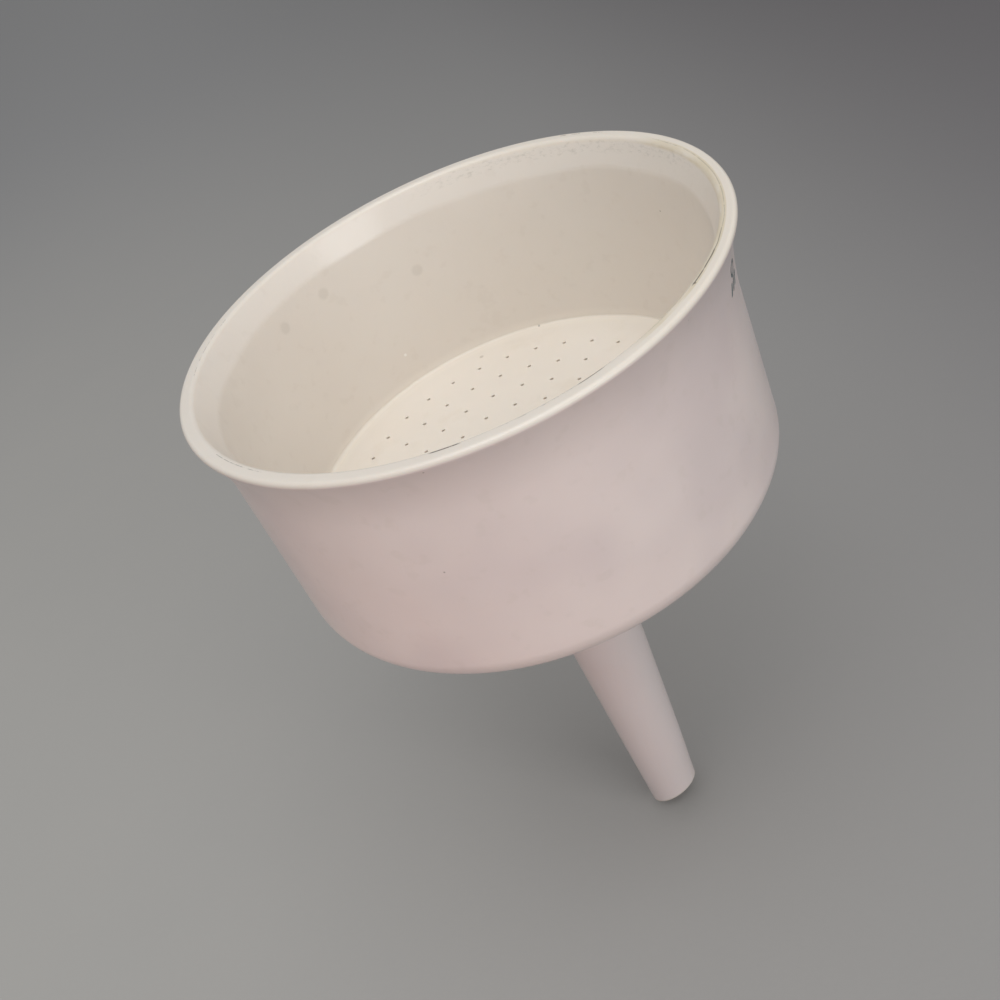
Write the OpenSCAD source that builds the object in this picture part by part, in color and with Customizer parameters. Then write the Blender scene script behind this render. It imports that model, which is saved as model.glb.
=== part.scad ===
// Porcelain Buchner funnel for 110 mm filter paper.
// Z is up. The origin is on the axis, at the lowest point of the slanted stem tip.
// The formed clay sections touch face to face, joined by their own rings of slip.

/* [Overall] */
// Outside diameter across the flared lip
rim_d = 133; // [131:0.5:136]
// Height from the lowest point of the tip to the crown of the lip
overall_h = 204; // [180:1:240]
// Depth from the crown of the lip down to the plate
bowl_depth = 50.5; // [40:0.5:65]

/* [Bowl] */
// Outside diameter at the shoulder
body_d = 127.6; // [126:0.2:129]
// Outside diameter at the neck, where the lip starts to flare
neck_d = 126.2; // [125:0.2:127]
// Inside diameter at the waist, where the inner face of the lip starts to lean
waist_d = 120.2; // [119:0.2:121]
// Inside diameter at the plate
seat_d = 113; // [112:0.5:115]
// Radius of the outer curve by which the lip flares out
lip_flare_r = 30; // [24:1:40]
// Radius of the outer edge of the crown
crown_outer_r = 1; // [0.8:0.1:1.8]
// Radius of the inner edge of the crown
crown_inner_r = 1.3; // [1:0.1:1.5]
// Thickness of the lip at its crown
lip_t = 3.9; // [3.8:0.1:4.2]
// Lean of the inner face of the lip from the vertical, in degrees
lip_lean = 22.5; // [20:0.5:26]
// Radius of the curve between the leaning face and the wall
waist_r = 6; // [2:0.5:8]
// Radius of the outer shoulder
shoulder_r = 7.5; // [6:0.5:9]
// Radius of the domed underside
dome_r = 110; // [105:1:130]
// Thickness of the domed floor
floor_t = 5; // [4:0.5:6]

/* [Plate] */
// Thickness of the perforated plate
plate_t = 5; // [4:0.5:6]
// Diameter of each drilled hole
hole_d = 0.9; // [0.8:0.1:2]
// Distance between neighbouring rings of holes
hole_pitch = 8.2; // [7.5:0.1:8.6]
// Number of rings of holes
hole_rings = 6; // [4:1:6]
// Width of the ledge under the edge of the plate
ledge_w = 2.5; // [2:0.1:4]
// Thickness of the slip under and round the plate
slip_t = 0.3; // [0.2:0.05:0.5]
// Depth of the bevel round the top edge of the plate
plate_bevel = 0.8; // [0.5:0.1:1]
// Radius of the cove of slip between the plate and the wall
cove_r = 1; // [0.8:0.1:1.6]

/* [Stem] */
// Outside diameter of the stem where it meets the bowl
stem_root_d = 25; // [23:0.5:26]
// Outside diameter of the stem at its tip
stem_tip_d = 16; // [15:0.2:18]
// Bore at the bowl
bore_root_d = 15.5; // [13:0.5:16]
// Bore at the tip
bore_tip_d = 9; // [8:0.5:10]
// Slant of the tip from the horizontal, in degrees
tip_slant = 30; // [10:1:40]
// Direction of the longest side of the tip, in degrees from the X axis
tip_azimuth = 120; // [0:5:355]
// Radius of the slip fillet round the root of the stem
root_fillet_r = 4.5; // [3:0.5:5]

/* [Printed mark] */
// Direction that the mark faces, in degrees from the X axis
mark_azimuth = -30; // [-180:5:180]
// Drop from the crown of the lip to the top of the mark
mark_drop = 8; // [6:0.5:24]
// Radius of the ring of the mark
mark_ring_r = 2; // [1.4:0.2:3]
// Width of the line of the ring
mark_line = 0.7; // [0.5:0.1:1]
// Width of each slanted stroke
mark_stroke_w = 1.1; // [0.6:0.1:1.4]
// Height of the slanted strokes
mark_stroke_h = 2.4; // [2:0.2:4]
// Sideways lean of each stroke over its height
mark_stroke_lean = 1.4; // [0:0.2:2]
// Distance between neighbouring strokes
mark_stroke_pitch = 2.4; // [1.8:0.1:2.8]
// Thickness of the printed colour
mark_t = 0.1; // [0.08:0.01:0.15]

/* [Hidden] */

turned_fn = 180;
hole_fn = 24;
glaze_white = [0.93, 0.90, 0.86];
slip_white = [0.95, 0.92, 0.88];
mark_teal = [0.16, 0.27, 0.27];

rim_r = rim_d / 2;
body_r = body_d / 2;
neck_r = neck_d / 2;
waist_x = waist_d / 2;
inner_r = seat_d / 2;

// The flare curve touches the outer edge of the crown; both centres follow from that.
flare_x = neck_r + lip_flare_r;
crown_outer = [rim_r - crown_outer_r, overall_h - crown_outer_r];
flare_dx = flare_x - crown_outer[0];
flare_dz = sqrt(pow(lip_flare_r + crown_outer_r, 2) - pow(flare_dx, 2));
flare_z = crown_outer[1] - flare_dz;
flare_angle = atan2(flare_dz, flare_dx);

// Levels of the plate and of the ledge under it.
plate_z = overall_h - bowl_depth;
plate_under_z = plate_z - plate_t;
ledge_z = plate_under_z - slip_t;
plate_r = inner_r - slip_t;
plate_edge_z = plate_z - plate_bevel;
chamber_r = inner_r - ledge_w;

// Cove of slip. Its feathered foot is where the flat of the plate ends.
cove_feather = 8;
cove_top_z = plate_z + cove_r * (1 - sin(cove_feather));
flat_r = inner_r - cove_r * (1 - sin(cove_feather));

// Inside of the lip: the leaning face and the tapered wall meet at a rounded corner.
crown_inner = [rim_r - lip_t + crown_inner_r, overall_h - crown_inner_r];
lean_top = crown_inner + crown_inner_r * [-cos(lip_lean), sin(lip_lean)];
corner_z = lean_top[1] - (lean_top[0] - waist_x) / tan(lip_lean);
seat_top_z = plate_z + cove_r;
wall_taper = atan2(waist_x - inner_r, corner_z - seat_top_z);
waist_below = waist_r * tan((lip_lean - wall_taper) / 2);
waist_centre = [waist_x - waist_below * sin(wall_taper) + waist_r * cos(wall_taper),
                corner_z - waist_below * cos(wall_taper) - waist_r * sin(wall_taper)];

// The underside is part of a sphere that touches the shoulder curve.
shoulder_z = ledge_z - 1.5;
shoulder_x = body_r - shoulder_r;
dome_angle = asin(shoulder_x / (dome_r - shoulder_r));
dome_z = shoulder_z + (dome_r - shoulder_r) * cos(dome_angle);

// The chamber floor is a sphere about the same centre.
floor_r = dome_r - floor_t;
chamber_round_r = 4;
chamber_angle = asin((chamber_r - chamber_round_r) / (floor_r - chamber_round_r));
chamber_round_z = dome_z - (floor_r - chamber_round_r) * cos(chamber_angle);

// Flat landing pad on the underside, where the stem is stuck on.
stem_root_r = stem_root_d / 2;
stem_tip_r = stem_tip_d / 2;
pad_r = stem_root_r + root_fillet_r;
pad_angle = asin(pad_r / dome_r);
pad_z = dome_z - dome_r * cos(pad_angle);
outlet_r = bore_root_d / 2;
outlet_edge_r = 2;
outlet_edge_x = outlet_r + outlet_edge_r;
outlet_angle = asin(outlet_edge_x / floor_r);
outlet_edge_z = dome_z - floor_r * cos(outlet_angle) - outlet_edge_r;

mark_centre_z = overall_h - mark_drop - mark_ring_r;
flare_steps = 8;

// Points along an arc about [cx, cz], from angle a0 to angle a1.
function arc(centre, r, a0, a1, steps) =
    [for (i = [0:steps]) let (a = a0 + (a1 - a0) * i / steps)
        centre + r * [cos(a), sin(a)]];

// Outer radius of the stem at a height.
function stem_r(z) = stem_tip_r + (stem_root_r - stem_tip_r) * z / pad_z;

module turned() {
    rotate_extrude($fn = turned_fn) children();
}

// Half section of the bowl: up the outside, over the lip and down the inside.
module bowl_section() {
    polygon(concat(
        [[outlet_r, pad_z]],
        arc([0, dome_z], dome_r, pad_angle - 90, dome_angle - 90, 12),
        arc([shoulder_x, shoulder_z], shoulder_r, dome_angle - 90, 0, 8),
        arc([flare_x, flare_z], lip_flare_r, 180, 180 - flare_angle, flare_steps),
        arc(crown_outer, crown_outer_r, -flare_angle, 90, 8),
        arc(crown_inner, crown_inner_r, 90, 180 - lip_lean, 5),
        arc(waist_centre, waist_r, 180 - lip_lean, 180 - wall_taper, 5),
        [[inner_r, seat_top_z], [inner_r, ledge_z], [chamber_r, ledge_z]],
        arc([chamber_r - chamber_round_r, chamber_round_z], chamber_round_r,
            0, chamber_angle - 90, 5),
        arc([0, dome_z], floor_r, chamber_angle - 90, outlet_angle - 90, 10),
        arc([outlet_edge_x, outlet_edge_z], outlet_edge_r, 90, 180, 4)
    ));
}

module bowl() {
    color(glaze_white) turned() bowl_section();
}

// Drilled disc. Ring k holds 6k - 3 holes, and every other ring is turned half round.
module perforated_plate() {
    color(glaze_white) difference() {
        turned() polygon([
            [0, plate_under_z], [plate_r, plate_under_z], [plate_r, plate_edge_z],
            [flat_r, plate_z], [0, plate_z]
        ]);
        for (k = [1:hole_rings]) {
            count = 6 * k - 3;
            start = (k % 2 == 0) ? 90 : -90;
            for (i = [0:count - 1])
                rotate(start + 360 * i / count)
                    translate([(k - 0.5) * hole_pitch, 0, plate_under_z - 1])
                        cylinder(h = plate_t + 2, d = hole_d, $fn = hole_fn);
        }
    }
}

// Slip under the plate and up its edge.
module plate_bedding_ring() {
    color(slip_white) turned() polygon([
        [chamber_r, ledge_z], [inner_r, ledge_z], [inner_r, plate_edge_z],
        [plate_r, plate_edge_z], [plate_r, plate_under_z], [chamber_r, plate_under_z]
    ]);
}

// Cove of slip wiped into the corner between the plate and the wall.
module plate_luting_bead() {
    color(slip_white) turned() polygon(concat(
        [[plate_r, plate_edge_z], [inner_r, plate_edge_z], [inner_r, cove_top_z]],
        arc([inner_r - cove_r, plate_z + cove_r], cove_r, -cove_feather, cove_feather - 90, 6),
        [[flat_r, plate_z]]
    ));
}

// Tapered tube with a tapered bore, cut off at a slant.
module stem() {
    color(glaze_white) difference() {
        turned() polygon([
            [bore_tip_d / 2, 0], [stem_tip_r, 0], [stem_root_r, pad_z], [outlet_r, pad_z]
        ]);
        rotate(tip_azimuth) translate([stem_tip_r, 0, 0]) rotate([0, tip_slant, 0])
            translate([-30, -15, -20]) cube([40, 30, 20]);
    }
}

// Concave fillet of slip between the landing pad and the stem.
module stem_luting_ring() {
    foot_z = pad_z - root_fillet_r;
    color(slip_white) turned() polygon(concat(
        [[stem_r(foot_z), foot_z], [stem_root_r, pad_z]],
        arc([pad_r, foot_z], root_fillet_r, 90, 180, 8)
    ));
}

// Flat drawing of the mark: a ring over three slanted strokes.
module mark_drawing() {
    stroke_top = -mark_ring_r - 0.4;
    half_w = mark_stroke_w / 2;
    half_lean = mark_stroke_lean / 2;
    difference() {
        circle(r = mark_ring_r, $fn = 48);
        circle(r = mark_ring_r - mark_line, $fn = 48);
    }
    for (i = [-1:1])
        translate([i * mark_stroke_pitch, stroke_top])
            polygon([
                [-half_w - half_lean, -mark_stroke_h], [half_w - half_lean, -mark_stroke_h],
                [half_w + half_lean, 0], [-half_w + half_lean, 0]
            ]);
}

// Thin skin over the wall and its flare.
module mark_skin() {
    flare = [flare_x, flare_z];
    turned() polygon(concat(
        [[body_r, shoulder_z]],
        arc(flare, lip_flare_r, 180, 180 - flare_angle, flare_steps),
        arc(flare, lip_flare_r - mark_t, 180 - flare_angle, 180, flare_steps),
        [[body_r + mark_t, shoulder_z]]
    ));
}

// The drawing laid on the wall as a thin layer of colour.
module printed_mark() {
    color(mark_teal) intersection() {
        mark_skin();
        rotate(mark_azimuth) translate([body_r - 5, 0, mark_centre_z])
            rotate([90, 0, 90]) linear_extrude(15) mark_drawing();
    }
}

bowl();
perforated_plate();
plate_bedding_ring();
plate_luting_bead();
stem();
stem_luting_ring();
printed_mark();
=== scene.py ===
import math

import bpy
import numpy as np
from mathutils import Matrix, Vector, geometry


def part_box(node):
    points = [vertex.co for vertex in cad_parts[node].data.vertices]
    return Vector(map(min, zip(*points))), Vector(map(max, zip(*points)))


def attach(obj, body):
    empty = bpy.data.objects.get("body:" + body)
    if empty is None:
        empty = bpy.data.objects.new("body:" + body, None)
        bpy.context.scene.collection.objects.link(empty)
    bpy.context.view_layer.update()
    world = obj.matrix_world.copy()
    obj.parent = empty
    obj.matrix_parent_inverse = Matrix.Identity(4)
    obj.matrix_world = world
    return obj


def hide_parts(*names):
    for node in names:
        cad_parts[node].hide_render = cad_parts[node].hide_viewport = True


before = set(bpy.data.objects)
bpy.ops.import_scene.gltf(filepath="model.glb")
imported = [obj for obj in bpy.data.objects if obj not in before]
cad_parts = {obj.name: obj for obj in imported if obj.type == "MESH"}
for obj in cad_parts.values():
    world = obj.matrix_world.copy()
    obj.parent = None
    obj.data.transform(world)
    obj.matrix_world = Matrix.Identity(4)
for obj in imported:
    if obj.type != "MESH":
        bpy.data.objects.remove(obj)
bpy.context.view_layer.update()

MM = 0.001
TAU = 2 * math.pi
QUARTER = math.pi / 2
rng = np.random.default_rng(7)


# ---------------------------------------------------------------- sizes, from the frame

bowl_low, bowl_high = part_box("bowl")
plate_low, plate_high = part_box("perforated_plate")
bedding_low, bedding_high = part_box("plate_bedding_ring")
_, bead_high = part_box("plate_luting_bead")
_, stem_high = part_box("stem")
fillet_low, fillet_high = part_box("stem_luting_ring")
_, mark_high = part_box("printed_mark")

RIM_R = bowl_high.x
CROWN_Z = bowl_high.z
PAD_Z = bowl_low.z
INNER_R = bedding_high.x
LEDGE_Z = bedding_low.z
PLATE_Z = plate_high.z
PLATE_UNDER_Z = plate_low.z
PLATE_R = plate_high.x
STEM_ROOT_R = stem_high.x
FILLET_R = fillet_high.x - STEM_ROOT_R

BODY_R = 63.8 * MM
NECK_R = 63.1 * MM
LIP_T = 3.9 * MM
LIP_FLARE_R = 30 * MM
CROWN_OUTER_R = 1.0 * MM
CROWN_INNER_R = 1.3 * MM
LIP_LEAN = math.radians(22.5)
WAIST_X = 60.1 * MM
WAIST_R = 6 * MM
SHOULDER_R = 7.5 * MM
SHOULDER_DROP = 1.5 * MM
DOME_R = 110 * MM
FLOOR_R = 105 * MM
LEDGE_W = 2.5 * MM
COVE_FEATHER = math.radians(8)
COVE_H = bead_high.z - PLATE_Z
COVE_R = COVE_H / (1 - math.sin(COVE_FEATHER))
FLAT_R = INNER_R - 0.45 * COVE_H
PLATE_BEVEL = 0.8 * MM
CHAMBER_ROUND = 4 * MM
OUTLET_R = 7.75 * MM
STEM_TIP_R = 8 * MM
BORE_TIP_R = 4.5 * MM
TIP_SLANT = math.radians(30)
TIP_EDGE = 0.8 * MM
TIP_AZIMUTH = math.radians(120)
MARK_AZIMUTH = math.radians(-30)
HOLE_R = 0.49 * MM
HOLE_PITCH = 8.2 * MM
HOLE_RINGS = 6


# ---------------------------------------------------------------- outlines

def arc(centre_x, centre_z, radius, start, end, steps):
    """Points along an arc, from angle start to angle end, in radians."""
    angles = np.linspace(start, end, steps + 1)
    return [(centre_x + radius * math.cos(a), centre_z + radius * math.sin(a)) for a in angles]


def line(start, end, step):
    """Points along a straight stretch, without its two ends."""
    count = max(1, int(math.dist(start, end) / step))
    return [(start[0] + (end[0] - start[0]) * i / count,
             start[1] + (end[1] - start[1]) * i / count) for i in range(1, count)]


def join_stretches(stretches, step):
    """One outline from several arcs or points, with straight stretches filled in between."""
    outline = []
    for stretch in stretches:
        if outline:
            outline += line(outline[-1], stretch[0], step)
            if math.dist(outline[-1], stretch[0]) < 1e-6:
                outline.pop()
        outline += stretch
    return outline


def flare_centre():
    """Centre of the flare curve, which touches both the neck and the crown's edge."""
    flare_x = NECK_R + LIP_FLARE_R
    across = flare_x - (RIM_R - CROWN_OUTER_R)
    down = math.sqrt((LIP_FLARE_R + CROWN_OUTER_R) ** 2 - across ** 2)
    return flare_x, CROWN_Z - CROWN_OUTER_R - down


def bowl_outlines():
    """Half section of the bowl in two stretches: up the outside to the crown of the lip,
    then over the crown and down the inside."""
    crown_x, crown_z = RIM_R - CROWN_OUTER_R, CROWN_Z - CROWN_OUTER_R
    flare_x, flare_z = flare_centre()
    flare_angle = math.atan2(crown_z - flare_z, flare_x - crown_x)

    # The leaning face of the lip and the tapered wall meet at a corner, rounded by an arc.
    inner_x, inner_z = RIM_R - LIP_T + CROWN_INNER_R, CROWN_Z - CROWN_INNER_R
    lean_x = inner_x - CROWN_INNER_R * math.cos(LIP_LEAN)
    lean_z = inner_z + CROWN_INNER_R * math.sin(LIP_LEAN)
    corner_z = lean_z - (lean_x - WAIST_X) / math.tan(LIP_LEAN)
    seat_top_z = PLATE_Z + COVE_R
    taper = math.atan2(WAIST_X - INNER_R, corner_z - seat_top_z)
    below = WAIST_R * math.tan((LIP_LEAN - taper) / 2)
    waist_x = WAIST_X - below * math.sin(taper) + WAIST_R * math.cos(taper)
    waist_z = corner_z - below * math.cos(taper) - WAIST_R * math.sin(taper)

    shoulder_x, shoulder_z = BODY_R - SHOULDER_R, LEDGE_Z - SHOULDER_DROP
    dome_angle = math.asin(shoulder_x / (DOME_R - SHOULDER_R))
    dome_z = shoulder_z + (DOME_R - SHOULDER_R) * math.cos(dome_angle)
    pad_angle = math.asin((STEM_ROOT_R + FILLET_R) / DOME_R)

    chamber_x = INNER_R - LEDGE_W - CHAMBER_ROUND
    chamber_angle = math.asin(chamber_x / (FLOOR_R - CHAMBER_ROUND))
    chamber_z = dome_z - (FLOOR_R - CHAMBER_ROUND) * math.cos(chamber_angle)
    outlet_edge = 2 * MM
    outlet_x = OUTLET_R + outlet_edge
    outlet_angle = math.asin(outlet_x / FLOOR_R)
    outlet_z = dome_z - FLOOR_R * math.cos(outlet_angle) - outlet_edge

    outer = join_stretches([
        [(OUTLET_R, PAD_Z)],
        arc(0, dome_z, DOME_R, pad_angle - QUARTER, dome_angle - QUARTER, 30),
        arc(shoulder_x, shoulder_z, SHOULDER_R, dome_angle - QUARTER, 0, 14),
        arc(flare_x, flare_z, LIP_FLARE_R, math.pi, math.pi - flare_angle, 14),
        arc(crown_x, crown_z, CROWN_OUTER_R, -flare_angle, 0, 4),
    ], 2 * MM)
    inner = join_stretches([
        arc(crown_x, crown_z, CROWN_OUTER_R, QUARTER / 9, QUARTER, 8),
        arc(inner_x, inner_z, CROWN_INNER_R, QUARTER, math.pi - LIP_LEAN, 9),
        arc(waist_x, waist_z, WAIST_R, math.pi - LIP_LEAN, math.pi - taper, 8),
        [(INNER_R, seat_top_z)],
        [(INNER_R, LEDGE_Z)],
        [(INNER_R - LEDGE_W, LEDGE_Z)],
        arc(chamber_x, chamber_z, CHAMBER_ROUND, 0, chamber_angle - QUARTER, 8),
        arc(0, dome_z, FLOOR_R, chamber_angle - QUARTER, outlet_angle - QUARTER, 24),
        arc(outlet_x, outlet_z, outlet_edge, QUARTER, math.pi, 6),
    ], 2 * MM)
    return outer, inner


def bowl():
    outer, inner = bowl_outlines()
    inside = [0.0] * len(outer) + [1.0] * len(inner)
    return lathe("bowl_thrown", outer + inner, 384, smoothed_by_hand, inside)


# ---------------------------------------------------------------- meshes

def smooth(share):
    """A share from 0 to 1, eased at both ends."""
    return share * share * (3 - 2 * share)


def hand_wobble(points):
    """The small unevenness of hand-finished ware: the mouth is a little oval and wavy.

    It only ever moves the clay inwards and down, so that the piece stays inside its
    design size."""
    x, y, z = points.T
    turn = np.arctan2(y, x)
    weight = smooth(np.clip((z - PLATE_Z) / (CROWN_Z - PLATE_Z), 0, 1))
    full_side = (0.5 * (1 + np.cos(turn + 0.6))) ** 6
    oval = 0.5 * (1 + np.cos(2 * (turn - 2.0))) * (1 - full_side)
    ripple = 0.5 * (1 + np.cos(5 * turn + 1.0) * np.cos(3 * turn - 0.4))
    ovalness, waviness = 0.5, 0.06
    inward = weight * MM * (ovalness * oval + waviness * ripple)

    # One side of the outside is drawn a little flatter, between the lip and the shoulder.
    flatness = 0.8 * MM
    radius = np.hypot(x, y)
    depth = CROWN_Z - z
    outdoors = np.clip((radius - 61.3 * MM) / (1 * MM), 0, 1)
    start = np.clip((depth - 11 * MM) / (11 * MM), 0, 1)
    end = np.clip((66 * MM - depth) / (9 * MM), 0, 1)
    span = smooth(start) * end
    inward += flatness * outdoors * span * (0.5 * (1 + np.cos(turn))) ** 3
    scale = 1 - inward / np.maximum(radius, 1 * MM)
    wave = 0.5 * (1 + np.cos(2 * turn + 1.9)) * 0.6 + 0.5 * (1 + np.cos(3 * turn)) * 0.4
    level_drop = 0.22
    drop = weight * MM * level_drop * wave
    return np.stack([x * scale, y * scale, z - drop], axis=1)


def smoothed_by_hand(points):
    """The waist inside the lip was smoothed with a wet sponge, so its level wanders."""
    x, y, z = points.T
    turn = np.arctan2(y, x)
    wander = 0.5 * np.sin(3 * turn + 0.9) + 0.3 * np.sin(8 * turn + 2.2) + 0.2 * np.sin(13 * turn)
    waist_depth, waist_spread = 7 * MM, 3 * MM
    near_waist = np.exp(-((z - (CROWN_Z - waist_depth)) / waist_spread) ** 2)
    indoors = np.hypot(x, y) < WAIST_X + 1.6 * MM
    shift = 0.7 * MM * wander * near_waist * indoors
    return hand_wobble(np.stack([x, y, z + shift], axis=1))


def new_object(name, vertices, faces):
    """A mesh object, shaded smooth except across its sharp creases."""
    mesh = bpy.data.meshes.new(name)
    mesh.from_pydata([tuple(v) for v in vertices], [], faces)
    mesh.validate()
    mesh.polygons.foreach_set("use_smooth", [True] * len(mesh.polygons))
    mesh.set_sharp_from_angle(angle=math.radians(32))
    obj = bpy.data.objects.new(name, mesh)
    bpy.context.scene.collection.objects.link(obj)
    return obj


def lathe(name, outline, around=360, warp=None, inside=None):
    """Turns a closed outline of (radius, height) points about the axis.

    inside holds a number for each outline point, which the materials can read."""
    outline = np.array(outline)
    count = len(outline)
    angles = np.linspace(0, TAU, around, endpoint=False)
    radius = np.tile(outline[:, 0], around)
    height = np.tile(outline[:, 1], around)
    turn = np.repeat(angles, count)
    points = np.stack([radius * np.cos(turn), radius * np.sin(turn), height], axis=1)
    if warp:
        points = warp(points)
    faces = []
    for i in range(around):
        here, there = i * count, (i + 1) % around * count
        for j in range(count):
            k = (j + 1) % count
            faces.append((here + j, there + j, there + k, here + k))
    obj = new_object(name, points, faces)
    if inside:
        attribute = obj.data.attributes.new("inside", "FLOAT", "POINT")
        attribute.data.foreach_set("value", np.tile(inside, around))
    return obj


def hole_centres():
    """Centres of the drilled holes. Ring k holds 6k - 3, and every other ring is turned."""
    centres = []
    for k in range(1, HOLE_RINGS + 1):
        count = 6 * k - 3
        start = TAU / 4 if k % 2 == 0 else -TAU / 4
        for i in range(count):
            turn = start + TAU * i / count
            radius = (k - 0.5) * HOLE_PITCH
            centres.append((radius * math.cos(turn), radius * math.sin(turn)))
    return np.array(centres)


def ring_indices(start, count):
    """Edges that join count points, numbered from start, into a closed ring."""
    return [(start + i, start + (i + 1) % count) for i in range(count)]


def perforated_plate():
    """Disc with drilled holes whose edges are softened by the glaze."""
    centres = hole_centres()
    around_hole, around_edge = 20, 300
    soften = 0.20 * MM
    collar = 0.15 * MM
    hole_angles = np.linspace(0, TAU, around_hole, endpoint=False)
    circle = np.stack([np.cos(hole_angles), np.sin(hole_angles)], axis=1)

    # The flat face: the rim circle, circles round each hole, and a grid between them.
    edge_angles = np.linspace(0, TAU, around_edge, endpoint=False)
    edge_circle = np.stack([np.cos(edge_angles), np.sin(edge_angles)], axis=1)
    flat = [FLAT_R * edge_circle, (FLAT_R - collar) * edge_circle]
    edges = ring_indices(0, around_edge)
    first_hole = 2 * around_edge
    for number, centre in enumerate(centres):
        flat.append(centre + (HOLE_R + soften) * circle)
        edges += ring_indices(first_hole + number * around_hole, around_hole)
    flat += [centre + (HOLE_R + soften + collar) * circle for centre in centres]
    step = 2.4 * MM
    spots = np.arange(-FLAT_R, FLAT_R, step)
    grid = np.array([(x + (step / 2) * (row % 2), y)
                     for row, y in enumerate(spots) for x in spots])
    grid += rng.uniform(-0.2, 0.2, grid.shape) * step
    clear_of_edge = np.hypot(*grid.T) < FLAT_R - 1.2 * MM
    gaps = np.hypot(grid[:, None, 0] - centres[None, :, 0], grid[:, None, 1] - centres[None, :, 1])
    clear_of_holes = gaps.min(axis=1) > HOLE_R + soften + 0.8 * MM
    flat.append(grid[clear_of_edge & clear_of_holes])
    flat = np.concatenate(flat)
    made = geometry.delaunay_2d_cdt([Vector(p) for p in flat], edges, [], 0, 1e-9)
    points, triangles = np.array([tuple(p) for p in made[0]]), made[2]
    middles = points[np.array(triangles)].mean(axis=1)
    gaps = np.hypot(middles[:, None, 0] - centres[None, :, 0],
                    middles[:, None, 1] - centres[None, :, 1])
    solid = gaps.min(axis=1) > HOLE_R + 0.9 * soften
    triangles = [t for t, keep in zip(triangles, solid) if keep]

    # Gentle unevenness of the face, which never rises above the design height.
    x, y = points.T
    sag = (0.5 + 0.25 * np.sin(x / (9 * MM) + 1) * np.cos(y / (11 * MM))
           + 0.25 * np.sin((x + y) / (17 * MM)))
    top_z = PLATE_Z - 0.05 * MM * sag
    count = len(points)
    vertices = [(x, y, z) for (x, y), z in zip(points, top_z)]
    vertices += [(x, y, PLATE_UNDER_Z) for x, y in points]
    faces = [tuple(t) for t in triangles]
    faces += [tuple(i + count for i in reversed(t)) for t in triangles]

    def wall(top_ring, bottom_ring, levels):
        """Quads down through rings of points; levels gives (ring of xy, z) between the ends."""
        rings = [top_ring]
        for ring, z in levels:
            start = len(vertices)
            vertices.extend((p[0], p[1], z) for p in ring)
            rings.append(list(range(start, start + len(ring))))
        rings.append(bottom_ring)
        for upper, lower in zip(rings, rings[1:]):
            for i in range(len(upper)):
                k = (i + 1) % len(upper)
                faces.append((upper[i], lower[i], lower[k], upper[k]))

    for number, centre in enumerate(centres):
        first = first_hole + number * around_hole
        top_ring = list(range(first, first + around_hole))
        bottom_ring = [i + count for i in top_ring]
        level = top_z[first]
        soft_steps = [(centre + (HOLE_R + soften * (1 - math.sin(a))) * circle,
                       level - soften * (1 - math.cos(a)))
                      for a in (TAU / 16, TAU / 8, 3 * TAU / 16, TAU / 4)]
        straight = [(centre + HOLE_R * circle, PLATE_UNDER_Z + 0.3 * MM)]
        wall(top_ring, bottom_ring, soft_steps + straight)
    wall(list(range(around_edge)), [i + count for i in range(around_edge)], [
        (PLATE_R * edge_circle, PLATE_Z - PLATE_BEVEL),
        (PLATE_R * edge_circle, PLATE_UNDER_Z + 0.2 * MM),
    ])
    return new_object("perforated_plate_drilled", vertices, faces)


def lay_bead(points):
    """Hand-run slip: the cove is fuller on one side, and its edges wander a little."""
    x, y, z = points.T
    turn = np.arctan2(y, x)
    wander = 0.5 * np.sin(7 * turn + 0.5) + 0.3 * np.sin(19 * turn + 2.0) + 0.2 * np.sin(31 * turn)
    radius = np.hypot(x, y)
    size = 0.64 + 0.30 * np.clip(np.cos(turn - 2.6), 0, 1) ** 6 + 0.04 * wander
    across = size * (1.15 + 0.75 * np.clip(np.cos(turn - 2.3), 0, 1) ** 3)
    on_top = z > PLATE_Z - 0.1 * MM
    size, across = np.where(on_top, size, 1.0), np.where(on_top, across, 1.0)
    scale = (INNER_R - (INNER_R - radius) * across) / radius
    return np.stack([x * scale, y * scale, PLATE_Z + (z - PLATE_Z) * size], axis=1)


def plate_luting_bead():
    """Slip wiped into the corner with a fingertip, which leaves a small cove."""
    bevel_z = PLATE_Z - PLATE_BEVEL
    foot_sink = 0.06 * MM
    outline = join_stretches([
        [(PLATE_R, bevel_z)], [(INNER_R, bevel_z)],
        arc(INNER_R - COVE_H, PLATE_Z + COVE_H, COVE_H, 0, -QUARTER, 14),
        [(INNER_R - COVE_H - 0.1 * MM, PLATE_Z - foot_sink)],
    ], 0.5 * MM)
    return lathe("plate_luting_bead_run", outline, 480, lay_bead)


def plate_bedding_ring():
    """Slip under the plate and round its edge, as an L-shaped ring."""
    chamber_r = INNER_R - LEDGE_W
    edge_z = PLATE_Z - PLATE_BEVEL
    outline = join_stretches([
        [(chamber_r, LEDGE_Z)], [(INNER_R, LEDGE_Z)], [(INNER_R, edge_z)],
        [(PLATE_R, edge_z)], [(PLATE_R, PLATE_UNDER_Z)], [(chamber_r, PLATE_UNDER_Z)],
    ], 1 * MM)
    return lathe("plate_bedding_ring_slip", outline, 240)


def slant_tip(points):
    """Shears the lower end of the stem so that its end face lies on the slanted cut."""
    x, y, z = points.T
    along = x * math.cos(TIP_AZIMUTH) + y * math.sin(TIP_AZIMUTH)
    rounded_off = TIP_EDGE * (1 + math.tan(TIP_SLANT) - 1 / math.cos(TIP_SLANT))
    cut = (STEM_TIP_R - along) * math.tan(TIP_SLANT) - rounded_off
    sheared_h = 34 * MM
    fade = smooth(np.clip(1 - z / sheared_h, 0, 1))
    return np.stack([x, y, z + cut * fade], axis=1)


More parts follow.
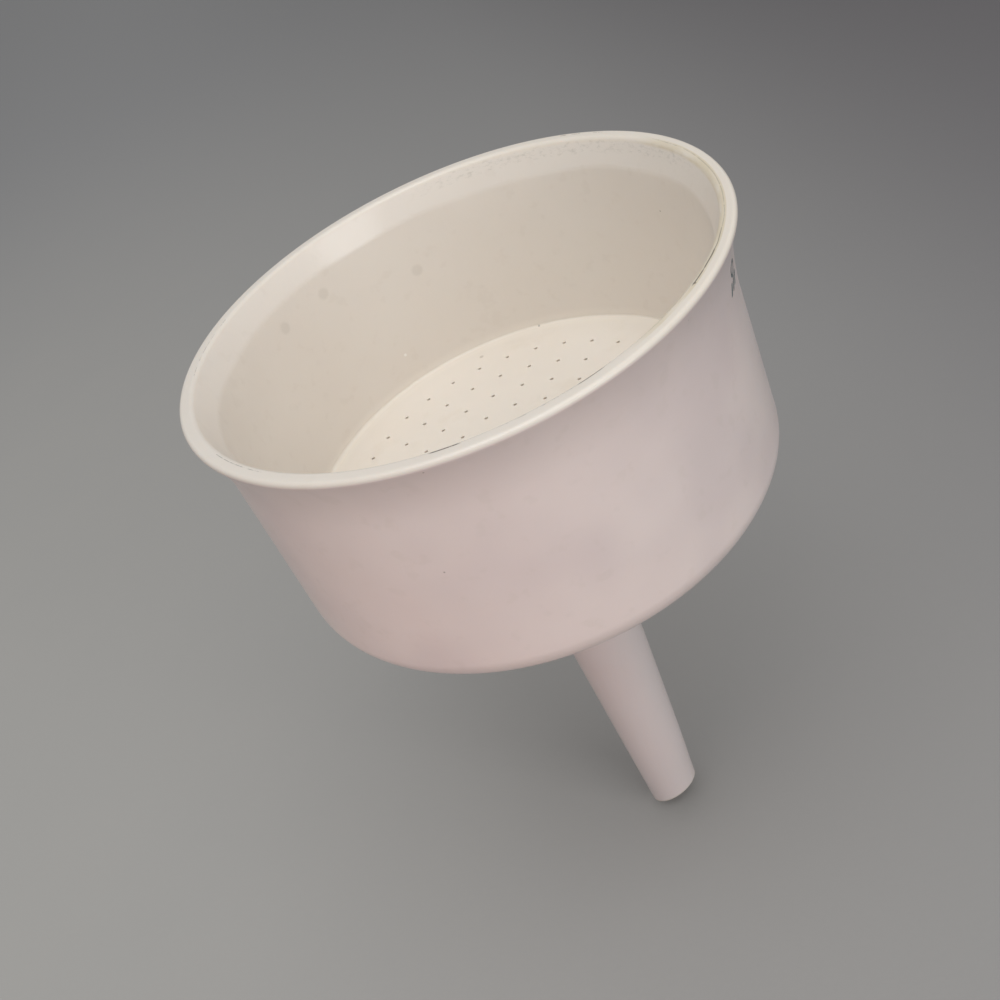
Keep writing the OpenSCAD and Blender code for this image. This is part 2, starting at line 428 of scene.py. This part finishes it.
def stem():
    """Tapered tube with a tapered bore, rounded edges and a slanted tip."""
    edge = TIP_EDGE
    bore_edge = 0.6 * MM
    taper = math.atan2(STEM_ROOT_R - STEM_TIP_R, PAD_Z)
    outline = join_stretches([
        arc(STEM_TIP_R - edge, edge, edge, -QUARTER, -taper, 8),
        [(STEM_ROOT_R, PAD_Z)],
        [(OUTLET_R, PAD_Z)],
        arc(BORE_TIP_R + bore_edge, bore_edge, bore_edge, math.pi, math.pi + QUARTER, 5),
    ], 2 * MM)
    return lathe("stem_tapered_tube", outline, 160, slant_tip)


def stem_luting_ring():
    """Fillet of slip between the stem and the underside of the bowl."""
    foot_z = fillet_low.z
    pad_r = STEM_ROOT_R + FILLET_R
    foot_r = STEM_TIP_R + (STEM_ROOT_R - STEM_TIP_R) * foot_z / PAD_Z
    outline = join_stretches([
        [(foot_r, foot_z)], [(STEM_ROOT_R, PAD_Z)],
        arc(pad_r, foot_z, FILLET_R, QUARTER, 2 * QUARTER, 14),
    ], 1 * MM)
    return lathe("stem_luting_ring_fillet", outline, 180)


def outer_radius(z):
    """Outside radius of the bowl at a height on its wall or its flare."""
    flare_x, flare_z = flare_centre()
    if z > flare_z:
        return flare_x - math.sqrt(LIP_FLARE_R ** 2 - (z - flare_z) ** 2)
    shoulder_z = LEDGE_Z - SHOULDER_DROP
    return NECK_R + (BODY_R - NECK_R) * (flare_z - z) / (flare_z - shoulder_z)


def printed_mark():
    """Generic device printed on the wall: a ring over three slanted strokes."""
    line_w = 0.7 * MM
    print_t = 0.05 * MM
    ring_r = 2.0 * MM
    stroke_w, stroke_h, slant, pitch = 1.1 * MM, 2.4 * MM, 1.4 * MM, 2.4 * MM
    centre_z = mark_high.z - ring_r
    vertices, faces = [], []

    def add_loops(loops, lift):
        for across, up in (point for loop in loops for point in loop):
            turn = MARK_AZIMUTH + across / NECK_R
            radius = outer_radius(centre_z + up) + lift
            vertices.append((radius * math.cos(turn), radius * math.sin(turn), centre_z + up))

    def patch(outer, inner=None):
        """A thin patch of colour; outer and inner are closed loops of (across, up) points."""
        start = len(vertices)
        count = len(outer)
        loops = [outer] if inner is None else [outer, inner]
        add_loops(loops, 0.0)
        add_loops(loops, print_t)
        layer = count * len(loops)
        for i in range(count):
            k = (i + 1) % count
            if inner is not None:
                faces.append((start + layer + i, start + layer + k,
                              start + layer + count + k, start + layer + count + i))
                faces.append((start + count + i, start + count + k, start + k, start + i))
                faces.append((start + count + k, start + count + i,
                              start + layer + count + i, start + layer + count + k))
            faces.append((start + i, start + k, start + layer + k, start + layer + i))
        if inner is None:
            faces.append(tuple(start + layer + i for i in range(count)))
            faces.append(tuple(start + i for i in reversed(range(count))))

    def loop_ring(radius, wobble):
        turns = np.linspace(0, TAU, 72, endpoint=False)
        uneven = 1 + wobble * np.sin(5 * turns + 1) + wobble * np.sin(11 * turns)
        return [(radius * u * math.cos(t), radius * u * math.sin(t))
                for t, u in zip(turns, uneven)]

    patch(loop_ring(ring_r * 0.98, 0.01), loop_ring(ring_r - line_w, 0.02))
    for i in (-1, 0, 1):
        low = -ring_r - 0.4 * MM - stroke_h
        rows = np.linspace(0, 1, 9)
        left = [(i * pitch - 0.5 * stroke_w + slant * (r - 0.5), low + stroke_h * r)
                for r in rows]
        right = [(across + stroke_w * (0.92 + 0.08 * math.sin(7 * r + i)), up)
                 for (across, up), r in zip(left, rows)]
        patch(right + left[::-1])
    return new_object("printed_mark_device", hand_wobble(np.array(vertices)), faces)


# ---------------------------------------------------------------- shader helpers

class Shader:
    """One material, and short names for the nodes that it is built from."""

    def __init__(self, name, roughness, specular=0.5, coat=0.0, coat_roughness=0.1,
                 subsurface=0.0, ior=1.5):
        self.material = bpy.data.materials.new(name)
        self.material.use_nodes = True
        self.tree = self.material.node_tree
        self.surface = self.tree.nodes["Principled BSDF"]
        sockets = self.surface.inputs
        sockets["Roughness"].default_value = roughness
        sockets["IOR"].default_value = ior
        sockets["Specular IOR Level"].default_value = specular
        sockets["Coat Weight"].default_value = coat
        sockets["Coat Roughness"].default_value = coat_roughness
        sockets["Subsurface Weight"].default_value = subsurface
        sockets["Subsurface Radius"].default_value = (1.0, 0.8, 0.6)
        sockets["Subsurface Scale"].default_value = 1.2 * MM
        self.position = self.add("ShaderNodeTexCoord").outputs["Object"]
        split = self.add("ShaderNodeSeparateXYZ", Vector=self.position)
        self.x, self.y, self.z = split.outputs
        self.radius = self.math("SQRT", self.math("ADD", self.math("MULTIPLY", self.x, self.x),
                                                  self.math("MULTIPLY", self.y, self.y)))
        self.turn = self.math("ARCTAN2", self.y, self.x)

    def plug(self, socket, value):
        if isinstance(value, bpy.types.NodeSocket):
            self.tree.links.new(value, socket)
        else:
            socket.default_value = value

    def add(self, kind, settings=None, **inputs):
        node = self.tree.nodes.new(kind)
        for key, value in (settings or {}).items():
            setattr(node, key, value)
        for key, value in inputs.items():
            self.plug(node.inputs[key], value)
        return node

    def math(self, operation, *values):
        node = self.add("ShaderNodeMath", {"operation": operation})
        for socket, value in zip(node.inputs, values):
            self.plug(socket, value)
        return node.outputs[0]

    def times(self, *values):
        total = values[0]
        for value in values[1:]:
            total = self.math("MULTIPLY", total, value)
        return total

    def step(self, value, low, high):
        """0 below low, 1 above high, smooth between; low may be the larger."""
        node = self.add("ShaderNodeMapRange", {"interpolation_type": "SMOOTHSTEP"}, Value=value)
        node.inputs["From Min"].default_value = min(low, high)
        node.inputs["From Max"].default_value = max(low, high)
        if low > high:
            node.inputs["To Min"].default_value = 1.0
            node.inputs["To Max"].default_value = 0.0
        return node.outputs["Result"]

    def window(self, value, low, high, soft):
        """1 between low and high, fading to 0 over soft on each side."""
        return self.times(self.step(value, low - soft, low), self.step(value, high + soft, high))

    def noise(self, scale, detail=3.0, roughness=0.5, vector=None):
        return self.add("ShaderNodeTexNoise", Vector=vector or self.position, Scale=scale,
                        Detail=detail, Roughness=roughness).outputs["Fac"]

    def around(self, across=0.0, stretch=1.0):
        """Coordinates that run round the axis: the turn, then the radius, then the height."""
        return self.add("ShaderNodeCombineXYZ", X=self.turn,
                        Y=self.math("MULTIPLY", self.radius, across),
                        Z=self.math("MULTIPLY", self.z, stretch)).outputs[0]

    def mix(self, factor, first, second):
        node = self.add("ShaderNodeMix", {"data_type": "RGBA"})
        for socket, value in zip((node.inputs[0], node.inputs[6], node.inputs[7]),
                                 (factor, first, second)):
            self.plug(socket, value)
        return node.outputs[2]

    def specks(self, scale, size, share):
        """Scattered dots: size is a part of a cell, share the part of the cells that have one."""
        cells = self.add("ShaderNodeTexVoronoi", Vector=self.position, Scale=scale)
        dot = self.step(cells.outputs["Distance"], size, 0.4 * size)
        pick = self.add("ShaderNodeSeparateColor", Color=cells.outputs["Color"]).outputs[0]
        return self.times(dot, self.step(pick, share, 0.98 * share))

    def spot(self, centre, size):
        """A round spot about a point: 1 at its middle, 0 beyond size."""
        node = self.add("ShaderNodeVectorMath", {"operation": "DISTANCE"})
        self.plug(node.inputs[0], self.position)
        node.inputs[1].default_value = centre
        return self.step(node.outputs["Value"], size, 0.5 * size)

    def spots(self, centres, size):
        found = [self.spot(centre, size) for centre in centres]
        total = found[0]
        for other in found[1:]:
            total = self.math("MAXIMUM", total, other)
        return total

    def bumps(self, *layers):
        """Each layer is (height, distance in metres)."""
        normal = None
        for height, distance in layers:
            node = self.add("ShaderNodeBump", Height=height, Distance=distance)
            if normal:
                self.plug(node.inputs["Normal"], normal)
            normal = node.outputs["Normal"]
        self.plug(self.surface.inputs["Normal"], normal)

    def finish(self, colour, roughness):
        self.plug(self.surface.inputs["Base Color"], colour)
        self.plug(self.surface.inputs["Roughness"], roughness)
        return self.material


def srgb(red, green, blue):
    """A colour given as 0 to 255 values, as the shader's linear numbers."""
    values = [c / 255 for c in (red, green, blue)]
    linear = [c / 12.92 if c <= 0.04045 else ((c + 0.055) / 1.055) ** 2.4 for c in values]
    return (*linear, 1.0)


# ---------------------------------------------------------------- materials

def on_wall(radius, degrees, drop):
    """The point of a wall at a turn, so far below the crown."""
    turn = math.radians(degrees)
    return (radius * math.cos(turn), radius * math.sin(turn), CROWN_Z - drop * MM)


def grit_in_corner(s):
    """A dark grain fired into the glaze where the wall meets the cove of slip."""
    return s.spot(on_wall(INNER_R - 0.4 * MM, 68.2, (CROWN_Z - PLATE_Z) / MM - 0.3), 0.5 * MM)


def glazed_porcelain():
    """The bowl: cream inside, cooler outside, with a worn and stained crown."""
    s = Shader("porcelain_body", 0.4, coat=0.6, coat_roughness=0.17, subsurface=0.12)
    inside = s.step(s.add("ShaderNodeAttribute", {"attribute_name": "inside"}).outputs["Fac"],
                    0.0, 1.0)
    cloud = s.noise(38.0, 3.0)
    fleck = s.noise(240.0, 2.0)
    outer = s.mix(cloud, srgb(234, 217, 212), srgb(242, 229, 224))
    # Painted reflections: soft dark streaks down the outside, from a noise that runs round the
    # axis.
    drift = s.noise(1.6, 2.0, 0.5, s.around(0.0, 14.0))
    outer = s.mix(s.times(s.step(drift, 0.42, 0.66), 0.45), outer, srgb(218, 203, 202))
    inner = s.mix(cloud, srgb(231, 222, 212), srgb(235, 228, 219))
    colour = s.mix(inside, outer, inner)
    colour = s.mix(s.times(s.step(fleck, 0.58, 0.72), 0.10), colour, srgb(205, 192, 178))

    # Painted highlight: the wall is lightened towards the corner round the plate.
    painted_corner_highlight = s.times(inside, s.step(s.z, PLATE_Z + 3.5 * MM, PLATE_Z + 0.3 * MM))
    colour = s.mix(s.times(painted_corner_highlight, 0.6), colour, srgb(246, 239, 229))

    # Wear and stain round the crown, where the glaze is thickest and whitest.
    crown = s.step(s.z, CROWN_Z - 1.5 * MM, CROWN_Z - 0.8 * MM)
    toned = s.math("ADD", 0.35, s.times(0.5, s.step(s.x, -10 * MM, 55 * MM)))
    colour = s.mix(s.times(crown, toned), colour, srgb(235, 226, 213))
    round_noise = s.noise(5.0, 4.0, 0.6, s.around(120.0))
    stained = s.times(crown, s.window(s.turn, -1.0, 0.25, 0.2),
                      s.step(s.radius, RIM_R - 2.0 * MM, RIM_R - 2.3 * MM),
                      s.step(round_noise, 0.25, 0.6))
    colour = s.mix(s.times(stained, 0.6), colour, srgb(214, 198, 162))

    def scuff(radius, start, end, width, strength, wander, gaps=0.5):
        """A dark line along the crown, between two turns in degrees; gaps says how broken."""
        drift = s.math("MULTIPLY", s.math("SUBTRACT", s.noise(wander, 1.0, 0.5, s.around()), 0.5),
                       0.5 * MM)
        offset = s.math("ABSOLUTE", s.math("SUBTRACT", s.math("SUBTRACT", s.radius, radius), drift))
        broken = s.step(s.noise(22.0, 4.0, 0.7, s.around()), gaps - 0.06, gaps + 0.08)
        return s.times(s.step(offset, width, 0.3 * width), crown, broken, strength,
                       s.window(s.turn, math.radians(start), math.radians(end), 0.02))

    seam = RIM_R - 2.7 * MM
    marks = [
        scuff(seam, -48, -38, 0.22 * MM, 0.85, 9.0, 0.38),
        scuff(seam, -38, -31, 0.16 * MM, 0.65, 9.0, 0.42),
        scuff(seam + 0.1 * MM, -30, 20, 0.18 * MM, 0.30, 6.0, 0.42),
        scuff(seam - 0.5 * MM, -77, -73, 0.22 * MM, 0.85, 4.0, 0.34),
        scuff(seam - 0.5 * MM, -82, -77, 0.16 * MM, 0.45, 4.0, 0.48),
        scuff(seam - 0.4 * MM, -92, -84, 0.14 * MM, 0.40, 4.0),
        scuff(seam - 0.4 * MM, -104, -100, 0.24 * MM, 0.95, 4.0, 0.3),
        scuff(seam - 0.5 * MM, 147, 168, 0.14 * MM, 0.4, 3.0),
        scuff(seam, -156, -140, 0.14 * MM, 0.45, 3.0),
        scuff(seam + 1.2 * MM, 36, 47, 0.20 * MM, 0.7, 3.0),
    ]
    scuffs = s.times(s.spot(on_wall(seam, -48, 0.2), 0.45 * MM), 0.8)
    for mark in marks:
        scuffs = s.math("MAXIMUM", scuffs, mark)
    colour = s.mix(scuffs, colour, srgb(84, 74, 60))

    # Grey smears rubbed into the glaze just inside the crown.
    smear = s.times(inside, s.window(s.z, CROWN_Z - 3.2 * MM, CROWN_Z - 1.2 * MM, 0.8 * MM),
                    s.window(s.turn, 0.2, 1.3, 0.3),
                    s.step(s.noise(30.0, 6.0, 0.7, s.around(0.0, 40.0)), 0.48, 0.68))
    colour = s.mix(s.times(smear, 0.35), colour, srgb(178, 172, 160))

    # Specks in the glaze, three faint grey round spots on the inner wall, and one bare pinhole.
    dots = s.specks(160.0, 0.05, 0.10)
    colour = s.mix(s.times(dots, 0.55), colour, srgb(120, 104, 90))
    grey_spots = s.spots([on_wall(59.6 * MM, 120, 12.5), on_wall(59.6 * MM, 135, 12.5),
                       on_wall(58.9 * MM, 94, 21.3)], 2.1 * MM)
    colour = s.mix(s.times(grey_spots, 0.14), colour, srgb(150, 140, 126))
    outside_specks = s.spots([on_wall(BODY_R, -86, 14), on_wall(BODY_R, -89, 29),
                              on_wall(BODY_R, 150, 24)], 0.40 * MM)
    colour = s.mix(s.times(outside_specks, 0.3), colour, srgb(110, 98, 92))
    colour = s.mix(s.times(grit_in_corner(s), 0.5), colour, srgb(128, 116, 102))
    pinhole = s.spot(on_wall(57.3 * MM, 107.9, 41.4), 0.6 * MM)
    colour = s.mix(pinhole, colour, srgb(250, 246, 240))

    gloss = s.noise(70.0, 3.0)
    roughness = s.math("ADD", 0.34, s.times(gloss, 0.14))
    roughness = s.math("ADD", roughness, s.times(crown, 0.12))
    turning = s.noise(1.0, 3.0, 0.6, s.around(0.0, 320.0))
    s.bumps((s.noise(26.0, 2.0), 0.9 * MM), (turning, 0.03 * MM), (s.noise(900.0, 2.0), 0.02 * MM),
            (s.math("SUBTRACT", 1.0, scuffs), 0.05 * MM))
    return s.finish(colour, roughness)


def plate_porcelain():
    """The perforated plate: the creamiest face, faintly stained, with painted shade in its holes
    and a painted highlight towards its edge.
    """
    s = Shader("porcelain_plate", 0.42, coat=0.3, coat_roughness=0.25, subsurface=0.12)
    cloud = s.noise(45.0, 3.0)
    colour = s.mix(cloud, srgb(240, 231, 219), srgb(244, 237, 227))
    blotch = s.step(s.noise(90.0, 4.0, 0.6), 0.52, 0.75)
    colour = s.mix(s.times(blotch, 0.16), colour, srgb(214, 198, 172))
    # Painted shade down in the holes: their softened edges and walls are darkened.
    painted_hole_shade = s.step(s.z, PLATE_Z - 0.15 * MM, PLATE_Z - 0.5 * MM)
    colour = s.mix(s.times(painted_hole_shade, 0.45), colour, srgb(172, 156, 132))
    # Painted highlight: the face is lightened towards its edge at the corner with the wall.
    painted_corner_highlight = s.step(s.radius, FLAT_R - 4 * MM, FLAT_R)
    colour = s.mix(s.times(painted_corner_highlight, 0.6), colour, srgb(250, 242, 229))
    dots = s.specks(180.0, 0.05, 0.06)
    colour = s.mix(s.times(dots, 0.5), colour, srgb(130, 112, 92))
    plugged = s.spot((2 * MM, 50.6 * MM, PLATE_Z), 0.8 * MM)
    colour = s.mix(s.times(plugged, 0.35), colour, srgb(150, 134, 112))
    roughness = s.math("ADD", 0.36, s.times(s.noise(80.0, 3.0), 0.16))
    s.bumps((s.noise(60.0, 2.0), 0.25 * MM), (s.noise(1100.0, 2.0), 0.02 * MM))
    return s.finish(colour, roughness)


def stem_porcelain():
    """The stem: glazed, with a bare ground tip."""
    s = Shader("porcelain_stem", 0.42, coat=0.5, coat_roughness=0.2, subsurface=0.12)
    cloud = s.noise(40.0, 3.0)
    colour = s.mix(cloud, srgb(226, 213, 211), srgb(230, 220, 218))
    along = s.math("ADD", s.math("MULTIPLY", s.x, math.cos(TIP_AZIMUTH)),
                   s.math("MULTIPLY", s.y, math.sin(TIP_AZIMUTH)))
    cut = s.times(s.math("SUBTRACT", STEM_TIP_R, along), math.tan(TIP_SLANT))
    above_cut = s.math("SUBTRACT", s.z, cut)
    bare = s.step(above_cut, 0.9 * MM, 0.5 * MM)
    grain = s.noise(1500.0, 3.0, 0.6)
    ground = s.mix(grain, srgb(206, 196, 186), srgb(226, 219, 210))
    colour = s.mix(s.times(bare, 0.8), colour, ground)
    dots = s.specks(170.0, 0.05, 0.08)
    colour = s.mix(s.times(dots, 0.5), colour, srgb(125, 108, 96))
    roughness = s.math("ADD", 0.36, s.times(s.noise(75.0, 3.0), 0.14))
    roughness = s.math("ADD", roughness, s.times(bare, 0.4))
    s.bumps((s.noise(35.0, 2.0), 0.5 * MM), (s.noise(1000.0, 2.0), 0.02 * MM),
            (s.times(bare, grain), 0.05 * MM))
    return s.finish(colour, roughness)


def glazed_slip():
    """Slip under glaze: cream and lighter than the clay round the plate, partly as a painted
    highlight along the cove; cooler at the stem.
    """
    s = Shader("slip_glazed", 0.42, coat=0.2, coat_roughness=0.25, subsurface=0.15)
    cloud = s.noise(120.0, 3.0)
    # The light cream is in part a painted highlight along the cove.
    colour = s.mix(cloud, srgb(249, 239, 225), srgb(252, 244, 232))
    outdoors = s.step(s.z, PLATE_Z - 3 * MM, PLATE_Z - 8 * MM)
    colour = s.mix(outdoors, colour, srgb(238, 223, 218))
    dots = s.specks(210.0, 0.07, 0.05)
    colour = s.mix(s.times(dots, 0.6), colour, srgb(96, 84, 70))
    colour = s.mix(s.times(grit_in_corner(s), 0.5), colour, srgb(128, 116, 102))
    roughness = s.math("ADD", 0.30, s.times(s.noise(150.0, 2.0), 0.15))
    s.bumps((s.noise(260.0, 3.0), 0.12 * MM),)
    return s.finish(colour, roughness)


def bare_slip():
    """Unglazed slip hidden under the plate."""
    s = Shader("slip_bare", 0.8, specular=0.3)
    grain = s.noise(700.0, 4.0, 0.6)
    colour = s.mix(grain, srgb(214, 203, 188), srgb(232, 224, 212))
    roughness = s.math("ADD", 0.7, s.times(grain, 0.2))
    s.bumps((grain, 0.08 * MM),)
    return s.finish(colour, roughness)


def underglaze_print():
    """Dark teal print, uneven as from a worn stamp, under the clear glaze."""
    s = Shader("print_underglaze", 0.35, coat=0.4, coat_roughness=0.2)
    patch = s.step(s.noise(420.0, 4.0, 0.65), 0.40, 0.62)
    colour = s.mix(patch, srgb(52, 74, 76), srgb(92, 112, 112))
    colour = s.mix(s.times(s.step(s.noise(900.0, 2.0), 0.60, 0.72), 0.6), colour,
                   srgb(196, 188, 184))
    roughness = s.math("ADD", 0.32, s.times(s.noise(300.0, 2.0), 0.1))
    s.bumps((s.noise(900.0, 2.0), 0.02 * MM),)
    return s.finish(colour, roughness)


def studio_floor():
    """Floor with painted shade: graded from pale to mid grey along +X, and a little darker along
    +Y.
    """
    s = Shader("studio_floor", 0.8, specular=0.2)
    mottle = s.noise(14.0, 5.0, 0.6)
    near = s.mix(mottle, srgb(179, 178, 175), srgb(183, 181, 177))
    # Painted shade: the floor darkens away along +Y and towards +X.
    colour = s.mix(s.step(s.y, 0.2, 1.4), near, srgb(167, 167, 168))
    colour = s.mix(s.step(s.x, -0.4, 0.5), colour, srgb(136, 135, 136))
    colour = s.mix(s.step(s.x, 0.10, 0.45), colour, srgb(116, 114, 116))
    s.bumps((s.noise(600.0, 3.0), 0.05 * MM),)
    return s.finish(colour, 0.8)


# ---------------------------------------------------------------- the funnel

def place(piece, node, material):
    piece.data.materials.append(material)
    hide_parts(node)
    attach(piece, "root")


slip = glazed_slip()
place(bowl(), "bowl", glazed_porcelain())
place(perforated_plate(), "perforated_plate", plate_porcelain())
place(plate_bedding_ring(), "plate_bedding_ring", bare_slip())
place(plate_luting_bead(), "plate_luting_bead", slip)
place(stem(), "stem", stem_porcelain())
place(stem_luting_ring(), "stem_luting_ring", slip)
place(printed_mark(), "printed_mark", underglaze_print())


# ---------------------------------------------------------------- stage, lights and camera

def floor():
    size = 40.0
    corners = [(-size, -size, 0), (size, -size, 0), (size, size, 0), (-size, size, 0)]
    obj = new_object("studio_floor", corners, [(0, 1, 2, 3)])
    obj.data.materials.append(studio_floor())


def square_lamp(name, size, energy, colour, location, away):
    """A square area light at a place, facing against the direction away."""
    light = bpy.data.lights.new(name, "AREA")
    light.shape = "SQUARE"
    light.size = size
    light.energy = energy
    light.color = colour
    obj = bpy.data.objects.new(name, light)
    bpy.context.scene.collection.objects.link(obj)
    obj.location = location
    obj.rotation_euler = away.to_track_quat("Z", "Y").to_euler()
    return obj


def softbox(name, azimuth, elevation, level):
    """A white softbox in the given direction, in degrees, aimed at the bowl.

    level is how bright it makes a white card that faces it beside the bowl."""
    distance, size = 1.3, 0.75
    turn, rise = math.radians(azimuth), math.radians(elevation)
    away = Vector((math.cos(turn) * math.cos(rise), math.sin(turn) * math.cos(rise),
                   math.sin(rise)))
    square_lamp(name, size, level * (math.pi * distance) ** 2, (1, 1, 1),
                Vector((0, 0, PLATE_Z)) + distance * away, away)


def warm_card():
    """A small card low on the left that throws a little warm light up at the wall."""
    turn, distance, height = math.radians(-138), 0.27, 0.09
    location = Vector((distance * math.cos(turn), distance * math.sin(turn), height))
    aim = Vector((0, 0, PLATE_Z - 0.02))
    card = square_lamp("warm_card", 0.16, 0.012, (1.0, 0.26, 0.12), location, location - aim)
    card.data.spread = math.radians(75)
    card.visible_camera = False
    card.visible_glossy = False


def sky(colour, strength):
    world = bpy.data.worlds.new("studio_sky")
    world.use_nodes = True
    background = world.node_tree.nodes["Background"]
    background.inputs["Color"].default_value = (*colour, 1)
    background.inputs["Strength"].default_value = strength
    bpy.context.scene.world = world


def camera():
    """A camera at the viewing angle: direction and roll in degrees, place from the mouth."""
    azimuth, pitch, roll = (math.radians(a) for a in (91.67, -36.71, -26.33))
    forward = Vector((math.cos(azimuth) * math.cos(pitch), math.sin(azimuth) * math.cos(pitch),
                      math.sin(pitch)))
    level = Vector((math.sin(azimuth), -math.cos(azimuth), 0))
    upright = level.cross(forward)
    right = math.cos(roll) * level + math.sin(roll) * upright
    up = right.cross(forward)
    data = bpy.data.cameras.new("camera")
    data.lens = 39.92
    data.sensor_width = 36.0
    data.clip_start = 0.01
    data.clip_end = 200.0
    obj = bpy.data.objects.new("camera", data)
    place_at = Vector((-3.4 * MM, -230.0 * MM, CROWN_Z + 109.3 * MM))
    obj.matrix_world = Matrix.Translation(place_at) @ Matrix(
        (right, up, -forward)).transposed().to_4x4()
    bpy.context.scene.collection.objects.link(obj)
    bpy.context.scene.camera = obj


floor()
sky((1.0, 1.0, 1.0), 0.41)
softbox("key_softbox", -68, 60, 0.21)
softbox("fill_softbox", -125, 65, 0.17)
softbox("top_softbox", 0, 85, 0.09)
softbox("front_softbox", -58, 16, 0.24)
warm_card()
camera()
bpy.context.scene.view_settings.view_transform = "Standard"
